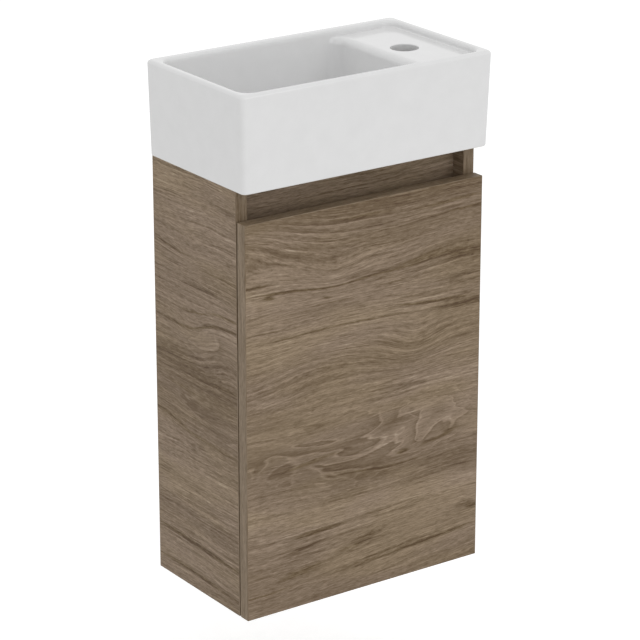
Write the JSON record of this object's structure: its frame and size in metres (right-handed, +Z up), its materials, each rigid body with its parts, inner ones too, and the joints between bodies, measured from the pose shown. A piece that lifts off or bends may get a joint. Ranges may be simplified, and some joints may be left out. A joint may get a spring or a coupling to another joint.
{
  "type": "vanity unit",
  "caption": "Wall-hung cloakroom vanity unit: glazed ceramic basin with side tap ledge on a wood-grain cabinet with a hinged, handleless door under a finger recess.",
  "frame": {"origin": "on the wall plane, in the middle of the four wall screw holes of the two wall plates that carry the cabinet", "axes": "+X to the right seen from the front, +Y towards the wall, +Z up"},
  "size_m": [0.365, 0.207, 0.664],
  "materials": {
    "ceramic": "white gloss glaze",
    "laminate": "matt grey-brown walnut laminate",
    "laminate_edge": "matt grey-brown walnut edge band",
    "hinge_steel": "nickel-plated steel",
    "zinc": "bare zinc die-casting",
    "zinc_steel": "bright zinc-plated steel",
    "nylon": "light grey nylon",
    "beech": "bare fluted beech",
    "clear_bumper": "soft translucent"
  },
  "bodies": {
    "carcass": {"basin": "ceramic", "left_panel": "laminate", "right_panel": "laminate", "bottom_panel": "laminate", "recess_fascia": "laminate", "rear_top_rail": "laminate", "rear_bottom_rail": "laminate", "shelf": "laminate", "shelf_pins": "zinc_steel", "carcass_edge_bands": "laminate_edge", "cam_locks": "zinc", "cam_bolts": "zinc_steel", "wood_dowels": "beech", "hanger_housings": "nylon", "hanger_hooks": "zinc_steel", "hanger_adjusting_screws": "zinc_steel", "hanger_fixing_screws": "zinc_steel", "wall_plates": "zinc_steel", "hinge_plates": "zinc", "hinge_plate_screws": "zinc_steel", "hinge_arms": "hinge_steel", "hinge_arm_screws": "zinc_steel", "arm_pivot_pins": "hinge_steel"},
    "outer_link_pair": {"outer_links": "hinge_steel"},
    "door": {"door_panel": "laminate", "door_edge_bands": "laminate_edge", "door_bumpers": "clear_bumper", "hinge_cups": "hinge_steel", "cup_pivot_pins": "hinge_steel", "cup_screws": "zinc_steel"},
    "inner_link_pair": {"inner_links": "hinge_steel", "inner_link_pins": "hinge_steel"}
  },
  "joints": [
    {"name": "outer_link_pivot", "type": "hinge", "parent": "carcass", "child": "outer_link_pair", "pos_m": [0.143, -0.171, -0.058], "axis": [0, 0, 1], "range_deg": [-28.8, 0]},
    {"name": "door_pivot", "type": "hinge", "parent": "outer_link_pair", "child": "door", "pos_m": [0.1654, -0.186, -0.058], "axis": [0, 0, 1], "range_deg": [0, 118.8]},
    {"name": "inner_link_pivot", "type": "hinge", "parent": "door", "child": "inner_link_pair", "pos_m": [0.1644, -0.1918, -0.058], "axis": [0, 0, 1], "range_deg": [-105.3, 0]}
  ],
  "couplings": [
    {"joint": "outer_link_pivot", "follows": "door_pivot", "ratio": -0.24242},
    {"joint": "inner_link_pivot", "follows": "door_pivot", "ratio": -0.88636}
  ]
}
